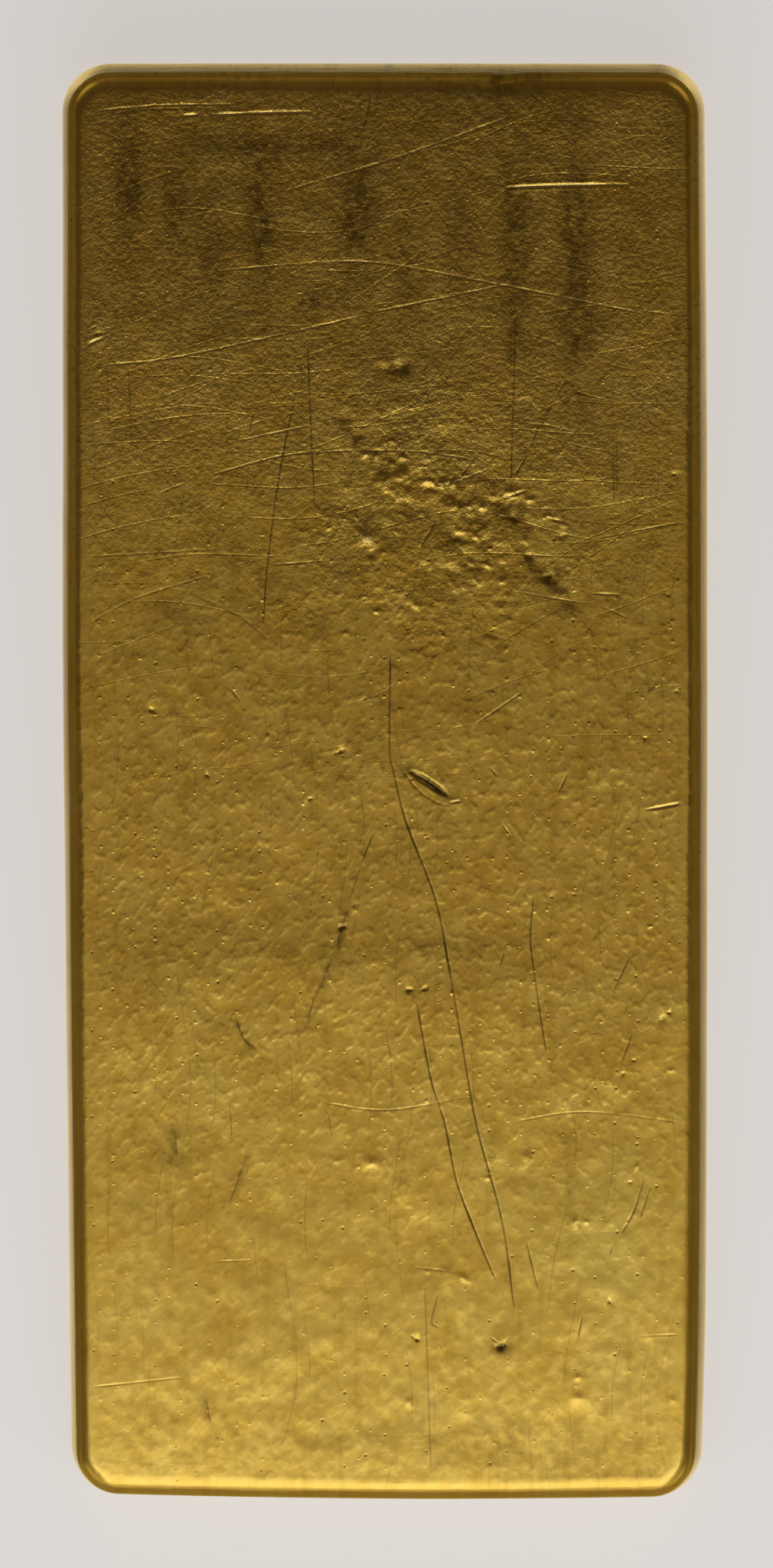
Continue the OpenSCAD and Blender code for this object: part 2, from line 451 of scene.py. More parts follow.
fade = eased(height, 0, LIP_KEPT) * (1 - eased(np.arange(len(height)), len(height) - 3, len(height) - 1))
edge_inward *= fade[None, :]
rise = np.gradient(height)
sideways = np.gradient(reach)
facing = np.column_stack([rise, -sideways]) / np.hypot(rise, sideways)[:, None]
edge_grid[:, :, :2] -= outward[:, None, :] * (edge_inward * facing[None, :, 0])[:, :, None]
edge_grid[:, :, 2] -= edge_inward * facing[None, :, 1]
print(f"edge: dented by {edge_inward.max():.2f} mm at most")

# %% Spread places over the faces
FACE_SPACING, FOLDS_SPACING, UNDERSIDE_SPACING = 0.40, 0.18, 0.95
RIM_CLEAR, UNDERSIDE_CLEAR = 0.25, 0.5
JITTER = 0.2


def inset_from_rim(points, rim_reach):
    """Distance inwards from a rim that lies rim_reach outside the core rectangle."""
    past_core = np.abs(points) - (np.array([half_width, half_length]) - CORNER_RADIUS)
    outside = np.hypot(*np.clip(past_core, 0, None).T)
    return rim_reach - outside - np.clip(past_core.max(axis=1), None, 0)


def lattice_inside(rim_reach, spacing, clear, seed):
    """A jittered lattice of plan places that keeps clear of the rim by the given distance."""
    x = np.arange(-half_width, half_width, spacing)
    y = np.arange(-half_length, half_length, spacing)
    places = np.stack(np.meshgrid(x, y), axis=-1).reshape(-1, 2)
    places += np.random.default_rng(seed).uniform(-JITTER, JITTER, places.shape) * spacing
    return places[inset_from_rim(places, rim_reach) > clear]


folds_centre = on_plan([FOLDS_AT])[0]
plain = lattice_inside(reach[-1], FACE_SPACING, RIM_CLEAR, 1)
folded = lattice_inside(reach[-1], FOLDS_SPACING, RIM_CLEAR, 3)
in_folds = [np.hypot(*((places - folds_centre) / FOLDS_REACH).T) < 1 for places in (plain, folded)]
lattice = np.vstack([plain[~in_folds[0]], folded[in_folds[1]]])
underside_places = lattice_inside(reach[0], UNDERSIDE_SPACING, UNDERSIDE_CLEAR, 2)
print(f"places: {len(lattice)} on the upper face, {len(underside_places)} on the underside")

# %% Pack places along the marks
NEAREST_PAIR = 0.035
FINE_MARK = 0.1
STRIP_WIDE = np.array([-2.2, -1.5, -1.0, -0.5, 0, 0.5, 1.0, 1.5, 2.2])
STRIP_FINE = np.array([-1.9, -0.95, 0, 0.95, 1.9])


def along_path(path, places):
    """(gap, share): how far each place is from a path, and at what share of the path's length."""
    start, step = path[:-1], np.diff(path, axis=0)
    offset = places[:, None, :] - start[None]
    t = np.clip((offset * step).sum(axis=2) / (step**2).sum(axis=1), 0, 1)
    gap = np.hypot(*(offset - t[:, :, None] * step).transpose(2, 0, 1))
    nearest = gap.argmin(axis=1)
    rows = np.arange(len(places))
    return gap[rows, nearest], (nearest + t[rows, nearest]) / len(step)


def close_to(path, places, margin):
    """Which places are inside the path's box, widened by the margin."""
    return np.all((places > path.min(axis=0) - margin) & (places < path.max(axis=0) + margin), axis=1)


def strip_places(path, width):
    """Places along both sides of a path: its points moved across by multiples of half the mark's width."""
    across = np.gradient(path, axis=0)[:, ::-1] * [-1, 1]
    across /= np.hypot(*across.T)[:, None]
    offsets = width * (STRIP_WIDE if width > FINE_MARK else STRIP_FINE)
    return (path[:, None, :] + across[:, None, :] * offsets[None, :, None]).reshape(-1, 2)


for path, width, *nature in marks:
    near = np.flatnonzero(close_to(path, lattice, 3 * width))
    taken = near[along_path(path, lattice[near])[0] < STRIP_WIDE[-1] * width + 0.1]
    lattice = np.delete(lattice, taken, axis=0)
strips = np.vstack([strip_places(path, width) for path, width, *nature in marks])
strips = strips[inset_from_rim(strips, reach[-1]) > RIM_CLEAR]
strips = strips[np.unique(np.round(strips / NEAREST_PAIR).astype(int), axis=0, return_index=True)[1]]
print(f"places: {len(strips)} along the marks")

# %% Pack places round the lumps and pits
SPOT_TURNS = 9
SPOT_RINGS = (0.3, 0.6, 0.95, 1.35)


def ring_places(spots):
    """Places round each bump: its centre and four rings, at set multiples of its radius."""
    centres, radius = on_plan(spots[:, :2]), spots[:, 2]
    turn = np.arange(SPOT_TURNS) * 2 * math.pi / SPOT_TURNS
    rings = np.array(SPOT_RINGS)[:, None, None] * np.column_stack([np.cos(turn), np.sin(turn)])
    star = np.vstack([[0, 0], rings.reshape(-1, 2)])
    return (centres[:, None, :] + radius[:, None, None] * star[None]).reshape(-1, 2)


spots = ring_places(np.array(LUMPS + PITS))
spots = spots[inset_from_rim(spots, reach[-1]) > RIM_CLEAR]
face_places = np.vstack([lattice, strips, spots])
print(f"places: {len(spots)} round the bumps, {len(face_places)} on the upper face in all")

# %% Cut the marks
BURR_SHARE = 0.2
BURR_AT, BURR_WIDTH = 1.5, 0.5  # in half widths of the mark
WAVER_MEAN, WAVER_SPREAD, WAVER_LIMITS = 0.95, 0.25, (0.5, 1.3)
END_WIDTH = 0.4  # what is left of the width at a mark's ends
TAPER = 1.6


def grooves(places):
    """(height, dark, bare) of all the marks: dark is packed grime, and in the gouge it is painted shadow as
    well.
    Across a mark the groove is -(1 - (gap / width)^2)^2, with a burr that the metal pushed up on each side;
    it narrows to its ends, and its depth wavers along it."""
    total, dirt_and_shade_share, bared = np.zeros((3, len(places)))
    for path, width, depth, dirt_and_shade, bare in marks:
        near = np.flatnonzero(close_to(path, places, 4 * width))
        gap, share = along_path(path, places[near])
        to_end = np.minimum(share, 1 - share) * PATH_STEP * (len(path) - 1)
        taper = np.sqrt(np.clip(to_end / min(TAPER, PATH_STEP * len(path) / 3), 0, 1))
        waver = np.clip(WAVER_MEAN + WAVER_SPREAD * uneven(places[near], (1.2, 1.2), 21), *WAVER_LIMITS)
        u = gap / (width * (END_WIDTH + (1 - END_WIDTH) * taper))
        trace = np.clip(1 - u**2, 0, None) ** 2 * taper
        burr = np.exp(-((u - BURR_AT) / BURR_WIDTH) ** 2) * taper
        total[near] += depth * waver * (BURR_SHARE * bare * burr - trace)
        dirt_and_shade_share[near] = np.maximum(dirt_and_shade_share[near], np.sqrt(trace) * dirt_and_shade * (0.5 + 0.5 * waver))
        bared[near] = np.maximum(bared[near], trace * bare * waver)
    return total, np.clip(dirt_and_shade_share, 0, 1), np.clip(bared, 0, 1)


mark_relief, mark_dirt_and_shade, mark_bare = grooves(face_places)
print(f"marks: down to {mark_relief.min():.2f} mm")

# %% Fold the rough patch
RIDGE_REACH = 1.7
TROUGH_REACH = 0.6
TROUGH_DEPTH = 0.05
FOLD_SWELL = 0.022
FOLD_RIM, FOLD_RAGGEDNESS = (0.2, 1.1), 0.2


def in_folds_by(places):
    """How far a place is in the folded patch, 0 to 1: an ellipse with a ragged, soft rim."""
    out = np.hypot(*((places - folds_centre) / FOLDS_REACH).T)
    out += FOLD_RAGGEDNESS * uneven(places, (2.6, 1.8), 41)
    return 1 - eased(out, *FOLD_RIM)


def from_nearest(paths, places):
    """Distance from each place to the nearest of some paths, which are given in pixels."""
    return np.min([along_path(smooth_path(path), places)[0] for path in paths], axis=0)


def folds(places):
    """Height of the folded patch: clustered layers of noise, highest along the ridges, lumpy in its upper
    half and rippled across the ingot in its lower half, on a broad swell, and a few troughs."""
    lower = eased(folds_centre[1] - places[:, 1], -3, 4)
    broad = uneven(places, (3.2, 2.2), 47)
    clustered = np.clip(0.75 + 0.4 * uneven(places, (2.4, 1.9), 46), 0.35, 1.4)
    clustered += np.exp(-(from_nearest(FOLD_RIDGES, places) / RIDGE_REACH) ** 2)
    wide = uneven(places, (1.5, 0.8), 42)
    close = uneven(places, (0.62, 0.42), 44)
    tight = uneven(places, (0.34, 0.27), 43)
    ripple = uneven(places, (0.85, 0.33), 45)
    trough = np.exp(-(from_nearest(FOLD_TROUGHS, places) / TROUGH_REACH) ** 2)
    lumpy = 0.015 * wide + 0.008 * close + 0.005 * np.abs(close) + 0.005 * tight
    rippled = 0.009 * wide + 0.005 * close + 0.009 * ripple + 0.004 * tight
    lumps = clustered * (lumpy + (rippled - lumpy) * lower) + FOLD_SWELL * broad
    return in_folds_by(places) * lumps - TROUGH_DEPTH * trough * (1 + 0.4 * close)


fold_relief = folds(face_places)
print(f"folds: {fold_relief.min():.2f} to {fold_relief.max():.2f} mm")

# %% Add up the upper face
COLD_BAND_AT = (500, 1232)
COLD_BAND_REACH = 3.2
COLD_BAND_DROP = 0.11
COLD_BAND_WANDER = 1.2
COLD_BAND_SPREAD = 5  # how much wider the wide bell is
SWELLS = [(0.03, (14, 9), 11), (0.018, (3.2, 3.8), 12), (0.011, (1.2, 1.5), 13)]  # height, spacing, seed
SWELL_CLEAR = 5.0
SWELL_AT_RIM = 0.3
RIM_FADE = 0.8
BELOW_SOLID = 0.002


def cold_band(places):
    """Height of a band across the ingot that leans away from the light: the slope is a narrow bell less a
    wide one of the same area, so the level is the same on both sides, and the height is a difference of two
    sigmoids."""
    from_band = places[:, 1] - on_plan([COLD_BAND_AT])[0, 1] + COLD_BAND_WANDER * uneven(places, (9, 9), 14)
    wide_reach = COLD_BAND_SPREAD * COLD_BAND_REACH
    steps = np.tanh(from_band / COLD_BAND_REACH) - np.tanh(from_band / wide_reach)
    return -COLD_BAND_DROP * steps * (0.75 - 0.35 * places[:, 0] / half_width)


lump_relief, pit_relief = bumps(face_places, LUMPS), bumps(face_places, PITS)
face_inset = inset_from_rim(face_places, reach[-1])
swell = sum(rise * uneven(face_places, spacing, seed) for rise, spacing, seed in SWELLS)
swell *= SWELL_AT_RIM + (1 - SWELL_AT_RIM) * eased(face_inset, 0, SWELL_CLEAR)
face_relief = swell + cold_band(face_places) + fold_relief + lump_relief - pit_relief + mark_relief
# the relief fades out at the rim, and nothing stands above the solid's own face
face_relief = np.minimum(face_relief * eased(face_inset, 0, RIM_FADE), FACE_ALLOWANCE - BELOW_SOLID)
print(f"relief: {face_relief.min():.2f} to {face_relief.max():.2f} mm over the plain face")

# %% Sink the open face
SINK_DEPTH = 0.35
LAND_WIDTH = 1.4
SINK_RUN = 7.0
RIPPLE_HEIGHT = 0.022
RIPPLE_LENGTH = 4.2
RIPPLE_WANDER, RIPPLE_UNEVENNESS = 0.9, 0.8
sink_radius = (SINK_RUN**2 + SINK_DEPTH**2) / (2 * SINK_DEPTH)
sink_half = np.array([half_width, half_length]) - LIP_RADIUS - LAND_WIDTH - SINK_RUN


def underside_heights(places):
    """Heights of the open face: a level land, then the cap of a large circle that eases down into the sink,
    where the metal froze from the rim inwards in faint ripples."""
    beyond = np.hypot(*np.clip(np.abs(places) - sink_half, 0, None).T)
    sink = np.clip(SINK_DEPTH - sink_radius + np.sqrt(sink_radius**2 - beyond**2), 0, None)
    inset = inset_from_rim(places, reach[0]) + RIPPLE_WANDER * uneven(places, (9, 9), 51)
    ripples = np.cos(2 * math.pi * inset / RIPPLE_LENGTH)
    ripples += RIPPLE_UNEVENNESS * uneven(places, (6, 6), 52)
    return sink + RIPPLE_HEIGHT * ripples * sink / SINK_DEPTH


underside_relief = underside_heights(underside_places)
print(f"open face: sinks by {underside_relief.max():.2f} mm")


# %% Join the three parts
def filled(rim, places):
    """Triangles over a rim and the places inside it, with the rim's edges kept.
    No triangle's circle holds another place, which keeps the triangles fat."""
    points = np.vstack([rim, places])
    around = list(range(len(rim)))
    found = delaunay_2d_cdt(points.tolist(), [], [around], 1, 1e-7)
    return np.array(found[2])


rounds, steps = edge_grid.shape[:2]
grid_index = np.arange(rounds * steps).reshape(rounds, steps)
following = np.roll(grid_index, -1, axis=0)
edge_quads = np.stack(
    [grid_index[:, :-1], following[:, :-1], following[:, 1:], grid_index[:, 1:]], axis=-1).reshape(-1, 4)
face_start = rounds * steps
underside_start = face_start + len(face_places)
face_index = np.concatenate([grid_index[:, -1], face_start + np.arange(len(face_places))])
underside_index = np.concatenate([grid_index[:, 0], underside_start + np.arange(len(underside_places))])
face_triangles = face_index[filled(rim_of_face, face_places)]
underside_triangles = underside_index[filled(rim_of_underside, underside_places)][:, ::-1]
triangles = 2 * len(edge_quads) + len(face_triangles) + len(underside_triangles)
print(f"skin: {triangles} triangles")

# %% Put the skin into a mesh
vertices = np.vstack([
    edge_grid.reshape(-1, 3),
    np.column_stack([face_places, face_level + face_relief]),
    np.column_stack([underside_places, underside_relief]),
])
plan_places = vertices[:, :2].copy()
vertices[:, :2] = warped(vertices[:, :2])
faces = edge_quads.tolist() + face_triangles.tolist() + underside_triangles.tolist()

skin_mesh = bpy.data.meshes.new("ingot_skin")
skin_mesh.from_pydata((vertices * MM).tolist(), [], faces)
skin_mesh.polygons.foreach_set("use_smooth", np.ones(len(skin_mesh.polygons), bool))
skin_mesh.update()
skin = placed("ingot_skin", skin_mesh)
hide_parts("ingot")
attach(skin, "root")
print(f"skin: {len(vertices)} vertices")

# %% [markdown]
# The skin is laid out flat for baking: the upper face at full scale, since it is what is looked at, the
# underside and the two ends at three quarters, and the edge unrolled in four strips, one to each side and
# its next corner.

# %% Lay the skin out flat
CHART_SPAN = 118.5  # millimetres to the whole width of the layout
SMALLER = 0.75
FACE_CORNER, UNDERSIDE_CORNER = (0.003, 0.003), (0.785, 0.25)
STRIP_CORNERS = [(0.886, 0.01), (0.455, 0.02), (0.992, 0.01), (0.455, 0.11)]

wall_line = anchor + outward * CORNER_RADIUS
wall_line = np.vstack([wall_line, wall_line[:1]])
wall_run, section_run = run_along(wall_line), run_along(profile)
strip_start = wall_run[np.searchsorted(quarter_of, np.arange(4))][quarter_of]


def strip_layout(along, up):
    """Places of the edge's corners in the layout: long sides upright, section to the left, ends level."""
    lies = (quarter_of % 2 == 1)[:, None]
    shift = np.array(STRIP_CORNERS)[quarter_of][:, None, :]
    level = SMALLER * np.stack(np.broadcast_arrays(along, up), axis=-1)
    upright = np.stack(np.broadcast_arrays(-up, along), axis=-1)
    return shift + np.where(lies[:, :, None], level, upright) / CHART_SPAN


begin, end = (wall_run[:-1] - strip_start)[:, None], (wall_run[1:] - strip_start)[:, None]
low, high = section_run[None, :-1], section_run[None, 1:]
strip_corners = np.stack([strip_layout(begin, low), strip_layout(end, low),
                          strip_layout(end, high), strip_layout(begin, high)], axis=2)
on_chart = plan_places + [half_width, half_length]
face_corners = on_chart[face_triangles] / CHART_SPAN + FACE_CORNER
underside_corners = on_chart[underside_triangles] * [-1, 1] * SMALLER / CHART_SPAN + UNDERSIDE_CORNER
layout = np.vstack([part.reshape(-1, 2) for part in (strip_corners, face_corners, underside_corners)])
skin_mesh.uv_layers.new(name="OFBake").data.foreach_set("uv", layout.astype(np.float32).ravel())
print(f"layout: from {layout.min(axis=0).round(3)} to {layout.max(axis=0).round(3)}")

# %% [markdown]
# ## What the material needs to know
# Where the metal is dirty, bare or smudged, and where shade is painted on it in the folds' troughs, along a
# crease, in a dent and in the gouge, is known to the functions that shaped it. So it is kept on the
# vertices
# as attributes: numbers from 0 to 1 that the material reads. A mask worked out again in nodes would need
# every mark twice.

# %% Set down the smudges and the painted shade, in pixels of the photograph
# Most blots are smudges. The two at the dent in the far edge, (655, 106) and (700, 102), are dirt and
# painted shade. Those in the folds' troughs, (518, 480), (600, 712), (672, 672) and (722, 752), and the two
# along the crease across the ingot, (430, 1230) and (600, 1235), are painted shade.
SMUDGE_AND_SHADE_BLOTS = [  # centre and half size in pixels, and strength
    (168, 235, 20, 100, 1.0), (228, 275, 19, 75, 0.75), (275, 320, 24, 65, 0.7), (300, 188, 60, 22, 0.5),
    (340, 280, 21, 95, 0.9), (385, 195, 48, 22, 0.5), (442, 186, 48, 16, 0.4), (467, 285, 30, 85, 1.0),
    (410, 395, 32, 18, 0.6), (310, 435, 60, 15, 0.5), (530, 330, 20, 105, 0.65), (600, 320, 20, 95, 0.65),
    (675, 335, 22, 125, 0.85), (752, 330, 21, 145, 0.95), (620, 150, 140, 45, 0.4), (760, 430, 34, 34, 0.6),
    (518, 480, 18, 9, 0.8), (740, 520, 46, 30, 0.55), (600, 1235, 60, 10, 0.3), (886, 425, 7, 12, 0.8),
    (660, 1880, 30, 40, 0.3), (225, 800, 40, 20, 0.3), (655, 106, 18, 12, 1.0), (700, 102, 40, 10, 0.6),
    (858, 84, 13, 8, 1.0), (432, 88, 7, 5, 0.9), (505, 88, 7, 5, 0.8), (380, 600, 25, 60, 0.2),
    (544, 1293, 12, 8, 0.9), (656, 1760, 14, 12, 0.8), (672, 672, 24, 12, 0.6), (722, 752, 30, 18, 0.7),
    (600, 712, 26, 18, 0.5), (430, 1230, 330, 45, 0.16), (270, 1770, 190, 14, 0.15),
    (500, 1885, 320, 14, 0.25), (520, 495, 95, 40, 0.3), (235, 1510, 60, 34, 0.25), (680, 245, 60, 40, 0.3),
    (330, 395, 150, 30, 0.25),
]
# Most lines are dirt along cuts. The two along the crease across the ingot, near row 1240, are its painted
# shadow. The one over the gouge is dirt and painted shadow in it.
SMEAR_AND_SHADE_LINES = [  # path in pixels, half width in millimetres, and strength
    ([(453, 1198), (446, 1216), (440, 1238)], 0.34, 0.95),
    ([(436, 1250), (420, 1290), (402, 1338)], 0.38, 0.65),
    ([(260, 1246), (380, 1240), (440, 1238)], 0.42, 0.35),
    ([(307, 1330), (318, 1355), (330, 1369)], 0.28, 0.9), ([(226, 1478), (229, 1518)], 0.42, 0.6),
    ([(322, 1512), (303, 1568)], 0.32, 0.5), ([(268, 1828), (274, 1862)], 0.30, 0.7),
    ([(440, 1238), (560, 1246)], 0.34, 0.25), ([(738, 1480), (742, 1540), (748, 1605)], 0.30, 0.5),
    ([(690, 1495), (695, 1560)], 0.25, 0.35), ([(533, 1004), (560, 1022), (588, 1042)], 0.45, 1.0),
    ([(672, 250), (668, 470)], 0.55, 0.35), ([(752, 250), (756, 440)], 0.55, 0.35),
]
HAZE = [
    (800, 1650, 75, 90, 0.9), (720, 1600, 60, 60, 0.4), (250, 1400, 60, 40, 0.35), (820, 1480, 40, 60, 0.4),
]
print(f"smudges: {len(SMUDGE_AND_SHADE_BLOTS)} blots, {len(SMEAR_AND_SHADE_LINES)} smears, {len(HAZE)} patches of haze")

# %% Keep the zones on the vertices
BLOT_GAIN = 1.25
AT_RIM = 0.55  # how far the rim counts as upper face
# how much a millimetre of a hollow, a pit and a lump counts; a hollow's darkening is grime and painted
# shade
GRIME_AND_SHADE_PER_MM, DIRT_PER_MM, BARE_PER_MM = 14, 8, 5


def blots(places, spots):
    """Sum of soft ellipses: strength times exp(-(x / half width)^2 - (y / half height)^2), kept under 1."""
    spots = np.array(spots)
    centres, sizes, strength = on_plan(spots[:, :2]), spots[:, 2:4] / PIXELS_PER_MM, spots[:, 4]
    apart = (((places[:, None, :] - centres[None]) / sizes) ** 2).sum(axis=2)
    return np.clip(BLOT_GAIN * (strength * np.exp(-apart)).sum(axis=1), 0, 1)


def soft_lines(places, paths):
    """Strongest of some soft lines: strength times exp(-(gap / half width)^2)."""
    lines = [strength * np.exp(-(along_path(smooth_path(path), places)[0] / wide) ** 2)
             for path, wide, strength in paths]
    return np.max(lines, axis=0)


def over_face(values):
    """These values on the upper face's vertices, and 0 on all others."""
    spread = np.zeros(len(vertices))
    spread[face_start:underside_start] = values
    return spread


upper = over_face(AT_RIM + (1 - AT_RIM) * eased(face_inset, 0, 1.2))
upper[:face_start] = np.tile(AT_RIM * eased(height, face_level - 0.3, face_level), rounds)
under = np.zeros(len(vertices))
under[:face_start] = np.tile(1 - eased(height, 0, 0.5), rounds)
under[underside_start:] = 1
# the folds' hollows darken by their depth: partly grime and partly painted shade in the troughs; the soft
# lines add theirs
hollow = over_face(np.clip(-GRIME_AND_SHADE_PER_MM * fold_relief - 0.1, 0, 0.6) + soft_lines(face_places, SMEAR_AND_SHADE_LINES))
zones = {
    "upper_face": upper,
    "open_face": under,
    "dirt_and_shade": over_face(np.maximum(mark_dirt_and_shade, np.clip(DIRT_PER_MM * pit_relief - 0.2, 0, 0.8))),
    "bare": over_face(np.maximum(mark_bare, np.clip(BARE_PER_MM * lump_relief - 0.2, 0, 0.5))),
    "smudge_and_shade": np.clip(blots(plan_places, SMUDGE_AND_SHADE_BLOTS) + hollow, 0, 1) * (1 - under),
    "haze": blots(plan_places, HAZE) * upper,
    "folds": over_face(in_folds_by(face_places)),
}
for name, values in zones.items():
    skin_mesh.attributes.new(name, "FLOAT", "POINT").data.foreach_set("value", values.astype(np.float32))
    print(f"zone {name}: mean {values.mean():.3f}, most {values.max():.2f}")

# %% [markdown]
# ## Helpers for nodes
# A material is a small program drawn as a graph, and writing each node out takes four lines. A few helpers
# keep the graph as short as the formula: one adds a node with its settings and inputs, and the others do a
# step of arithmetic, a sum, a product, a smooth step or a blend of two colours.


# %% Define the node helpers
def plug(tree, value, socket):
    """Link an output to a socket, or set the socket to a plain value."""
    if isinstance(value, bpy.types.NodeSocket):
        tree.links.new(value, socket)
    else:
        socket.default_value = value


def node(tree, kind, sockets=None, **settings):
    """Add a node: settings are its properties, sockets maps an input's name or number to what goes in."""
    made = tree.nodes.new("ShaderNode" + kind)
    for name, value in settings.items():
        setattr(made, name, value)
    for key, value in (sockets or {}).items():
        plug(tree, value, made.inputs[key])
    return made


def maths(tree, operation, *values):
    """One step of arithmetic."""
    return node(tree, "Math", dict(enumerate(values)), operation=operation).outputs[0]


def total_of(tree, *values):
    """Sum of several outputs or numbers."""
    return functools.reduce(lambda total, value: maths(tree, "ADD", total, value), values)


def product_of(tree, *values):
    """Product of several outputs or numbers."""
    return functools.reduce(lambda product, value: maths(tree, "MULTIPLY", product, value), values)


def between(tree, value, start, end, low=0.0, high=1.0):
    """Smooth step from low at start to high at end."""
    sockets = {"Value": value, "From Min": start, "From Max": end, "To Min": low, "To Max": high}
    return node(tree, "MapRange", sockets, interpolation_type="SMOOTHSTEP").outputs["Result"]


def blended(tree, share, first, second):
    """Colour that goes from first to second as share goes from 0 to 1."""
    return node(tree, "Mix", {"Factor": share, "A": first, "B": second}, data_type="RGBA").outputs["Result"]


def place_in_mm(tree):
    """Place on the object in millimetres: Object coordinates divided by a millimetre."""
    in_metres = node(tree, "TexCoord").outputs["Object"]
    return node(tree, "VectorMath", {0: in_metres, "Scale": 1 / MM}, operation="SCALE").outputs[0]


print("helpers: plug, node, maths, total_of, product_of, between, blended, place_in_mm")


# %% Define the helpers for groups
def new_group(name, inputs, output):
    """An empty node group: returns its tree, its inputs' outlets and its output node."""
    tree = bpy.data.node_groups.new(name, "ShaderNodeTree")
    for socket, kind in inputs.items():
        tree.interface.new_socket(name=socket, in_out="INPUT", socket_type="NodeSocket" + kind)
    tree.interface.new_socket(name=output, in_out="OUTPUT", socket_type="NodeSocketFloat")
    return tree, tree.nodes.new("NodeGroupInput").outputs, tree.nodes.new("NodeGroupOutput")


def use(tree, group, **sockets):
    """Place a group with its own values, each named as its socket is, in small letters."""
    made = tree.nodes.new("ShaderNodeGroup")
    made.node_tree = group
    for name, value in sockets.items():
        plug(tree, value, made.inputs[name.capitalize()])
    return made.outputs[0]


print("helpers: new_group, use")

# %% [markdown]
# ## Three textures of an old casting
# The skin of a casting is a grain of shallow dimples, finer where it chilled quickly. Handling adds
# hairlines, far too many to draw, all lying in a few directions. And there are specks: pinholes left by
# gas, and beads of metal that ran into pinholes of the mould. Each is a group that gives one value over the
# surface, so that one group can serve several times with other sizes. All sizes are in millimetres.

# %% Group: frozen grain
GRAIN_ROUGHNESS = 0.62  # what each finer layer of the noise keeps of the height of the one before
grain_group, got, out = new_group(
    "frozen grain", {"Place": "Vector", "Across": "Float", "Along": "Float", "Detail": "Float"}, "Height")
cell = node(grain_group, "CombineXYZ", {"X": got["Across"], "Y": got["Along"], "Z": 1.0}).outputs[0]
scaled = node(grain_group, "VectorMath", {0: got["Place"], 1: cell}, operation="DIVIDE").outputs[0]
layers = {"Vector": scaled, "Scale": 1.0, "Detail": got["Detail"], "Roughness": GRAIN_ROUGHNESS}
noise = node(grain_group, "TexNoise", layers, noise_dimensions="2D").outputs[0]
grain_group.links.new(maths(grain_group, "SUBTRACT", noise, 0.5), out.inputs[0])
print("group:", grain_group.name, "with", len(grain_group.nodes), "nodes")

# %% Group: hairlines
# The surface is cut into lanes and each lane into stretches. A lot drawn for a stretch says if a line is
# in it. Lots drawn for its lane say how far off the lane's middle the lines run, where the stretches
# begin, and how deep the lines are.
LANE_WANDER = (0.6, 0.2)
LANE_SHIFT = 37.0
LINE_STRENGTH = (0.7, 0.3)
measures = ("Angle", "Spacing", "Length", "Width", "Share")
tree, got, out = new_group("hairlines", {"Place": "Vector", **dict.fromkeys(measures, "Float")}, "Line")
turned = node(tree, "VectorRotate", {"Vector": got["Place"], "Angle": got["Angle"]}, rotation_type="Z_AXIS")
course = node(tree, "SeparateXYZ", {0: turned.outputs[0]}).outputs
lane = maths(tree, "DIVIDE", course["Y"], got["Spacing"])
lane_number = maths(tree, "FLOOR", lane)
lane_lot = node(tree, "TexWhiteNoise", {"W": lane_number}, noise_dimensions="1D").outputs["Color"]
lots = node(tree, "SeparateColor", {0: lane_lot}).outputs
line_at = maths(tree, "MULTIPLY_ADD", lots[0], *LANE_WANDER)
off_line = maths(tree, "ABSOLUTE", maths(tree, "SUBTRACT", maths(tree, "FRACT", lane), line_at))
gap = product_of(tree, off_line, got["Spacing"])
lengths_run = maths(tree, "DIVIDE", course["X"], got["Length"])
stretch = total_of(tree, lengths_run, product_of(tree, lots[1], LANE_SHIFT))
stretch_at = node(tree, "CombineXYZ", {"X": lane_number, "Y": maths(tree, "FLOOR", stretch)}).outputs[0]
lot = node(tree, "TexWhiteNoise", {"Vector": stretch_at}, noise_dimensions="2D").outputs["Value"]
drawn = maths(tree, "LESS_THAN", lot, got["Share"])
run = maths(tree, "FRACT", stretch)
ends = product_of(tree, between(tree, run, 0.0, 0.25), between(tree, run, 1.0, 0.6))
line = product_of(tree, between(tree, gap, got["Width"], 0.0), ends)
strength = product_of(tree, drawn, maths(tree, "MULTIPLY_ADD", lots[2], *LINE_STRENGTH))
tree.links.new(product_of(tree, line, strength), out.inputs[0])
hairline_group = tree
print("group:", hairline_group.name, "with", len(hairline_group.nodes), "nodes")

# %% Group: specks
speck_group, got, out = new_group(
    "specks", {"Place": "Vector", "Spacing": "Float", "Radius": "Float", "Share": "Float"}, "Speck")
scaled = node(speck_group, "VectorMath", {0: got["Place"], 1: got["Spacing"]}, operation="DIVIDE")
lattice_cells = {"Vector": scaled.outputs[0], "Scale": 1.0}
cells = node(speck_group, "TexVoronoi", lattice_cells, voronoi_dimensions="2D").outputs
apart = product_of(speck_group, cells["Distance"], got["Spacing"])
lots = node(speck_group, "SeparateColor", {0: cells["Color"]}).outputs
chosen = maths(speck_group, "LESS_THAN", lots[0], got["Share"])
radius = product_of(speck_group, got["Radius"], maths(speck_group, "ADD", lots[1], 0.5))
speck = product_of(speck_group, between(speck_group, apart, radius, 0.0), chosen)
speck_group.links.new(speck, out.inputs[0])
print("group:", speck_group.name, "with", len(speck_group.nodes), "nodes")

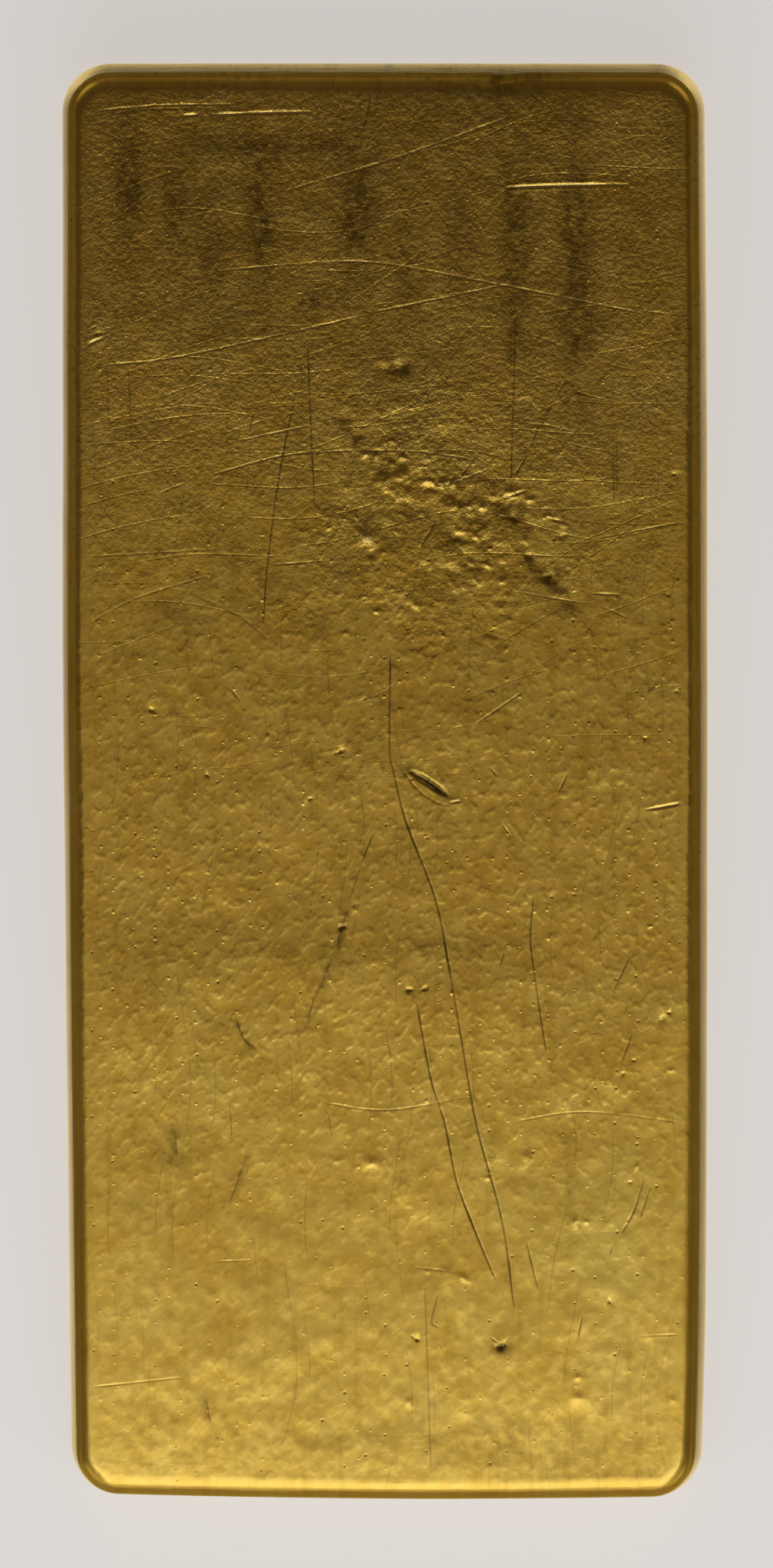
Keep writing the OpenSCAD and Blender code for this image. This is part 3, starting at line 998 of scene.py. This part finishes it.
# %% [markdown]
# ## Old gold
# Gold mirrors its surroundings in its own colour, so the base colour is what it would mirror of white. It
# is a little redder or greener from place to place, dull and brown where it is smudged, and nearly black
# where dirt has packed into a cut. The same brown is painted shade in the troughs of the folds, along a
# crease across the ingot and in a dent at the far edge, and the near black is painted shadow in the gouge.
# It is brighter where a scratch has bared it. The relief is added up in millimetres and given to one Bump
# node. The far end has a sandy grain. The middle has an orange peel that leans with the flow of the metal:
# only the upper half of its noise counts in full, which gives crisp bumps on flat metal, where plain noise
# looks like parchment. The near end has soft swells, and a wide mottle runs through both.

# %% Gold: find the place on the ingot
# along the ingot in millimetres, from where a zone begins to where it is full
FAR_END = (4.0, 34.0)
NEAR_END = (-10.0, -46.0)
SCORED_HALF = (-6.0, 22.0)
MOTTLED_HALF = (-5.0, -48.0)
LEAN_FROM = 4.0
LEAN = -0.22

gold = bpy.data.materials.new("cast_gold")
gold.use_nodes = True
tree = gold.node_tree
shader = tree.nodes["Principled BSDF"]
place_mm = place_in_mm(tree)
axes = node(tree, "SeparateXYZ", {0: place_mm}).outputs
far_end = between(tree, axes["Y"], *FAR_END)
near_end = between(tree, axes["Y"], *NEAR_END)
middle = maths(tree, "SUBTRACT", maths(tree, "SUBTRACT", 1.0, far_end), near_end)
on_left = maths(tree, "MINIMUM", maths(tree, "SUBTRACT", axes["X"], LEAN_FROM), 0.0)
leaned = maths(tree, "MULTIPLY_ADD", on_left, LEAN, axes["Y"])
leaning = node(tree, "CombineXYZ", {"X": axes["X"], "Y": leaned, "Z": axes["Z"]}).outputs[0]
zone = {name: node(tree, "Attribute", attribute_name=name).outputs["Fac"] for name in zones}
print("gold: reads", ", ".join(zone))

# %% Gold: lay the grains over it
GRAINS = {  # size across and along the ingot, and the number of finer layers
    "sandy": (0.43, 0.48, 3.0), "peel": (0.70, 0.90, 0.8), "swells": (0.95, 1.30, 0.3),
    "mottle": (1.4, 2.1, 0.5), "clumps": (0.75, 1.05, 2.0), "streaks": (1.3, 12.0, 1.5),
    "drifts": (5.5, 5.0, 2.0),
}
WALL_RUN_SCALE = (0.2, 0.2, 1.7)

grain = {}
for name, (across, along, detail) in GRAINS.items():
    place = leaning if name == "peel" else place_mm
    grain[name] = use(tree, grain_group, place=place, across=across, along=along, detail=detail)
layered = node(tree, "Mapping", {"Vector": place_mm, "Scale": WALL_RUN_SCALE}).outputs[0]
wall_noise = node(tree, "TexNoise", {"Vector": layered, "Scale": 1.0}).outputs[0]
wall_runs = maths(tree, "SUBTRACT", wall_noise, 0.5)
print("gold:", len(grain), "grains")

# %% Gold: draw the hairlines and specks
HAIRLINE_SETS = [  # angle in degrees, spacing, length, share, depth at the far end and at the near end
    (-5, 1.3, 17, 0.35, 0.011, 0.001), (6, 1.6, 14, 0.30, 0.010, 0.001), (-18, 1.9, 12, 0.30, 0.010, 0.001),
    (-32, 2.3, 9, 0.22, 0.009, 0.001),
]
HAIRLINE_WIDTH = 0.09
BEND_SCALE, BEND_ACROSS, BEND_ALONG = 0.05, 5.0, 6.0

waves = {"Vector": place_mm, "Scale": BEND_SCALE, "Detail": 0.0}
bend = node(tree, "TexNoise", waves, noise_dimensions="2D")
bent = node(tree, "CombineXYZ", {
    "X": maths(tree, "MULTIPLY_ADD", bend.outputs[0], BEND_ACROSS, axes["X"]),
    "Y": maths(tree, "MULTIPLY_ADD", bend.outputs[0], BEND_ALONG, axes["Y"]),
}).outputs[0]
scored = []
scored_half = between(tree, axes["Y"], *SCORED_HALF)
for angle, spacing, length, share, far_depth, near_depth in HAIRLINE_SETS:
    line = use(tree, hairline_group, place=bent, angle=math.radians(angle), spacing=spacing, length=length,
               width=HAIRLINE_WIDTH, share=share)
    depth = node(tree, "MapRange", {"Value": scored_half, "To Min": -near_depth, "To Max": -far_depth})
    scored.append(product_of(tree, line, depth.outputs["Result"]))
rubbed = use(tree, hairline_group, place=bent, angle=math.radians(91), spacing=1.1, length=9.0,
             width=0.11, share=0.3)
beads = use(tree, speck_group, place=place_mm, spacing=1.1, radius=0.15, share=0.17)
pinholes = use(tree, speck_group, place=leaning, spacing=1.7, radius=0.14, share=0.14)
print("gold:", len(scored), "sets of hairlines, beads and pinholes")

# %% Gold: add up the relief
SAND_HEIGHT, PEEL_HEIGHT, SWELL_HEIGHT = 0.057, 0.056, 0.024
MOTTLE_HEIGHTS = (0.048, 0.024)  # where the mottled half begins, and at the near end
BEAD_HEIGHTS = (0.021, 0.008)  # in the middle, and at the near end
PINHOLE_DEPTH = 0.022
WALL_RUN_HEIGHT, WALL_PEEL_HEIGHT = 0.05, 0.008
UNDER_SWELL_HEIGHT, UNDER_PINHOLE_DEPTH = 0.05, 0.05
PEEL_BELOW = 0.3  # what counts of the lower half of the peel's noise
SAND_IN_FOLDS, SAND_IN_MIDDLE = 0.35, 0.1
PEEL_IN_FOLDS, PEEL_AT_FAR_END, PEEL_AT_NEAR_END = 0.5, 0.15, 0.25

has_sand = total_of(
    tree, far_end, product_of(tree, zone["folds"], SAND_IN_FOLDS), product_of(tree, middle, SAND_IN_MIDDLE))
has_peel = total_of(
    tree, middle, product_of(tree, zone["folds"], PEEL_IN_FOLDS),
    product_of(tree, far_end, PEEL_AT_FAR_END), product_of(tree, near_end, PEEL_AT_NEAR_END))
lifted_peel = total_of(
    tree, maths(tree, "MAXIMUM", grain["peel"], 0.0), product_of(tree, grain["peel"], PEEL_BELOW))
face_height = total_of(
    tree,
    product_of(tree, has_sand, grain["sandy"], SAND_HEIGHT),
    product_of(tree, has_peel, lifted_peel, PEEL_HEIGHT),
    product_of(tree, grain["swells"], near_end, SWELL_HEIGHT),
    product_of(tree, grain["mottle"], between(tree, axes["Y"], *MOTTLED_HALF, *MOTTLE_HEIGHTS)),
    *scored,
    product_of(tree, beads, between(tree, axes["Y"], *NEAR_END, *BEAD_HEIGHTS)),
    product_of(tree, pinholes, -PINHOLE_DEPTH))
wall_height = total_of(
    tree, product_of(tree, wall_runs, WALL_RUN_HEIGHT), product_of(tree, grain["peel"], WALL_PEEL_HEIGHT))
under_height = total_of(
    tree, product_of(tree, grain["swells"], UNDER_SWELL_HEIGHT),
    product_of(tree, pinholes, -UNDER_PINHOLE_DEPTH))
on_wall = maths(tree, "SUBTRACT", maths(tree, "SUBTRACT", 1.0, zone["upper_face"]), zone["open_face"])
relief = total_of(
    tree, product_of(tree, face_height, zone["upper_face"]), product_of(tree, wall_height, on_wall),
    product_of(tree, under_height, zone["open_face"]))
bump = node(tree, "Bump", {"Strength": 1.0, "Distance": MM, "Height": relief})
tree.links.new(bump.outputs[0], shader.inputs["Normal"])
print("gold: relief on", bump.name)

# %% Gold: colour it
RED_GOLD, GREEN_GOLD = (0.98, 0.570, 0.066, 1), (0.96, 0.595, 0.076, 1)
HAZY_GOLD, BARE_GOLD = (0.92, 0.63, 0.09, 1), (1.0, 0.69, 0.17, 1)
WALL_GOLD = (0.90, 0.60, 0.07, 1)
STREAKED, DULLED = (0.85, 0.50, 0.055, 1), (0.82, 0.455, 0.038, 1)
# The brown below is that of smudges and of the shade painted in the folds' troughs, along a crease and in a
# dent. The near black is that of dirt packed in cuts, pits and pinholes, and of the shadow painted in the
# gouge.
SMUDGE_AND_SHADE_BROWN, PACKED_DIRT_AND_SHADE = (0.34, 0.19, 0.022, 1), (0.07, 0.045, 0.015, 1)
WALL_FROM, WALL_FULLY = 7.9, 7.1
GLANCING_TINT = (0.92, 0.86, 0.45, 1)
ROUGHNESS = (0.235, 0.25)

drifts = grain["drifts"]
duller = between(tree, maths(tree, "ADD", grain["mottle"], drifts), 0.1, -0.25, 0.0, 0.35)
patches = total_of(tree, grain["clumps"], product_of(tree, drifts, 0.4))
patchy = between(tree, patches, -0.25, 0.2, 0.25, 0.95)
grime = product_of(
    tree, between(tree, grain["sandy"], 0.02, 0.2), between(tree, drifts, -0.15, 0.15), far_end, 0.55)
# the brown coat: smudges and the far end's grime, and painted shade where the smudge zone holds it
smudged_and_shaded = maths(tree, "MAXIMUM", product_of(tree, zone["smudge_and_shade"], patchy), grime)
coats = [  # how much of each colour lies over the ones before it
    (between(tree, axes["Z"], WALL_FROM, WALL_FULLY), WALL_GOLD),
    (between(tree, grain["streaks"], 0.0, 0.3), STREAKED),
    (duller, DULLED),
    (product_of(tree, zone["haze"], 0.45), HAZY_GOLD),
    (smudged_and_shaded, SMUDGE_AND_SHADE_BROWN),
    (product_of(tree, rubbed, zone["upper_face"], 0.22), PACKED_DIRT_AND_SHADE),
    (product_of(tree, pinholes, 0.6), PACKED_DIRT_AND_SHADE),
    (product_of(tree, zone["bare"], 0.8), BARE_GOLD),
    (product_of(tree, zone["dirt_and_shade"], 0.85), PACKED_DIRT_AND_SHADE),
]
tone = blended(tree, between(tree, drifts, -0.3, 0.3), RED_GOLD, GREEN_GOLD)
for share, colour in coats:
    tone = blended(tree, share, tone, colour)
tree.links.new(tone, shader.inputs["Base Color"])
tree.links.new(between(tree, drifts, -0.2, 0.2, *ROUGHNESS), shader.inputs["Roughness"])
shader.inputs["Metallic"].default_value = 1.0
shader.inputs["Specular Tint"].default_value = GLANCING_TINT
skin_mesh.materials.append(gold)
print(f"gold: {len(coats)} coats of colour, {len(tree.nodes)} nodes in all")

# %% [markdown]
# ## The floor
# The ingot lies on a pale, even floor that is lit from below, as on a light table, so it throws no hard
# shadow. Polished walls show what stands beside them, so the floor looks different to the metal than to the
# camera: pale in a narrow band under the wall, and dark beyond it. That draws the pale outline and the dark
# line inside it.

# %% Lay the floor
FLOOR_RINGS = (0, 40, 400, 3000)  # how far each ring of the floor lies outside the first
FLOOR_GAP = 0.01
UNDER_LIP = 0.8
floor_rim = anchor + outward * (CORNER_RADIUS - UNDER_LIP)
floor_plan = np.vstack([floor_rim + outward * out for out in FLOOR_RINGS])
floor_points = np.column_stack([floor_plan, np.full(len(floor_plan), -FLOOR_GAP)]) * MM
ring = np.arange(len(floor_plan)).reshape(len(FLOOR_RINGS), -1)
next_on = np.roll(ring, -1, axis=1)
floor_quads = np.stack([ring[:-1], ring[1:], next_on[1:], next_on[:-1]], axis=-1).reshape(-1, 4)
floor_mesh = bpy.data.meshes.new("floor")
floor_mesh.from_pydata(floor_points.tolist(), [], floor_quads.tolist())
floor_mesh.update()
floor = placed("floor", floor_mesh)
print(f"floor: {len(floor_quads)} faces")

# %% Light the floor
FLOOR_GLOW = (0.568, 0.543, 0.521, 1)
FLOOR_PAINT = (0.375, 0.348, 0.228, 1)
PAINT_IN_METAL = (0.25, 0.212, 0.185, 1)
# millimetres outside the ingot, from and to, and the glow there as the metal sees it
PALE_BAND = (-0.2, 1.25, 1.3, 0.0)
DARK_BEYOND = (1.0, 15.0, 0.14, 0.075)
NEAR_SIDE_GAIN = 3.3

paper = bpy.data.materials.new("floor")
paper.use_nodes = True
tree = paper.node_tree
paper_shader = tree.nodes["Principled BSDF"]
paper_shader.inputs["Roughness"].default_value = 0.9
paper_shader.inputs["Specular IOR Level"].default_value = 0.0
paper_shader.inputs["Emission Color"].default_value = FLOOR_GLOW
place_mm = place_in_mm(tree)
sizes = node(tree, "VectorMath", {0: place_mm}, operation="ABSOLUTE").outputs[0]
from_middle = node(tree, "SeparateXYZ", {0: sizes}).outputs
outside = maths(tree, "MAXIMUM", maths(tree, "SUBTRACT", from_middle["X"], half_width),
                maths(tree, "SUBTRACT", from_middle["Y"], half_length))
lengthwise = node(tree, "SeparateXYZ", {0: place_mm}).outputs["Y"]
near_gain = between(tree, lengthwise, -half_length, -half_length - 1.0, 1.0, NEAR_SIDE_GAIN)
mirrored = total_of(tree, between(tree, outside, *PALE_BAND),
                    product_of(tree, between(tree, outside, *DARK_BEYOND), near_gain))
seen = node(tree, "LightPath").outputs["Is Camera Ray"]
glow = node(tree, "MapRange", {"Value": seen, "To Min": mirrored, "To Max": 1.0}).outputs["Result"]
tree.links.new(glow, paper_shader.inputs["Emission Strength"])
tree.links.new(blended(tree, seen, PAINT_IN_METAL, FLOOR_PAINT), paper_shader.inputs["Base Color"])
through = node(tree, "BsdfTransparent").outputs[0]
from_below = node(tree, "NewGeometry").outputs["Backfacing"]
either = node(tree, "MixShader", {0: from_below, 1: paper_shader.outputs[0], 2: through}).outputs[0]
tree.links.new(either, tree.nodes["Material Output"].inputs["Surface"])
floor_mesh.materials.append(paper)
print("floor: clear from below, so that the underside can be looked at")

# %% [markdown]
# ## Light
# The ingot is seen from above, so what its face mirrors is overhead. One large soft box stands past the
# near end, and its light thins out towards the far end: a rim and wings round it, then a strip of spill and
# a trace that reach over the ingot. A lamp's light is spread over its own size, so each panel is given a
# radiance instead, and the power is worked out from it. The room is dark, a little paler along the floor
# and past both ends, with a pale wall in each corner for the slanting views.

# %% Hang the soft box
PANELS = {  # from and to along the ingot, width and height in metres, radiance, colour
    "soft_box": (-0.30, -0.08, 0.25, 0.220, 0.87, (0.93, 1.09, 1.95)),
    "soft_box_rim": (-0.60, -0.045, 0.40, 0.221, 0.255, (0.96, 1.06, 1.50)),
    "soft_box_wings": (-0.60, -0.03, 0.90, 0.222, 0.075, (1.0, 1.0, 1.2)),
    "soft_box_spill": (-0.045, 0.0, 0.30, 0.220, 0.198, (1.0, 0.98, 1.25)),
    "soft_box_trace": (0.0, 0.035, 0.30, 0.220, 0.124, (1.0, 0.95, 1.35)),
}


def hang_panel(name, near, far, width, height, radiance, colour):
    """A level area light that faces down, from near to far along the ingot, with an even radiance.
    A flat source of radiance L and area A puts out pi L A watts."""
    light = bpy.data.lights.new(name, "AREA")
    light.shape = "RECTANGLE"
    light.size, light.size_y = width, far - near
    light.energy = radiance * math.pi * light.size * light.size_y
    light.color = colour
    hung = placed(name, light)
    hung.location = (0, (near + far) / 2, height)
    hung.visible_camera = False


for name, values in PANELS.items():
    hang_panel(name, *values)
bpy.context.scene.view_settings.view_transform = "Standard"
print("lights:", ", ".join(PANELS))

# %% Paint the room
ROOM_LOW, ROOM_HIGH = (0.135, 0.121, 0.12, 1), (0.046, 0.039, 0.045, 1)
END_WALL, CORNER_WALL = (0.5, 0.45, 0.45, 1), (0.45, 0.43, 0.41, 1)
BACKDROP = (0.67, 0.64, 0.61, 1)
# direction along the ingot, from and to, and how much the wall covers there
FAR_END_WALL, NEAR_END_WALL = (0.15, 0.5, 0.0, 0.05), (-0.5, -0.8, 0.0, 0.3)

world = bpy.data.worlds.new("studio")
bpy.context.scene.world = world
world.use_nodes = True
tree = world.node_tree
toward = node(tree, "SeparateXYZ", {0: node(tree, "TexCoord").outputs["Generated"]}).outputs
diagonal = maths(tree, "ABSOLUTE", product_of(tree, toward["X"], toward["Y"]))
level = total_of(tree, *[product_of(tree, toward[axis], toward[axis]) for axis in ("X", "Y")])
in_corner = between(tree, maths(tree, "DIVIDE", diagonal, level), 0.33, 0.48)
wall_high = product_of(tree, between(tree, toward["Z"], 0.08, 0.2), between(tree, toward["Z"], 0.65, 0.4))
room = blended(tree, between(tree, toward["Z"], 0.1, 0.72), ROOM_LOW, ROOM_HIGH)
for end in (FAR_END_WALL, NEAR_END_WALL):
    room = blended(tree, between(tree, toward["Y"], *end), room, END_WALL)
room = blended(tree, product_of(tree, in_corner, wall_high), room, CORNER_WALL)
seen = node(tree, "LightPath").outputs["Is Camera Ray"]
tree.links.new(blended(tree, seen, room, BACKDROP), tree.nodes["Background"].inputs["Color"])
print("room: dark, with paler ends and four pale corners")
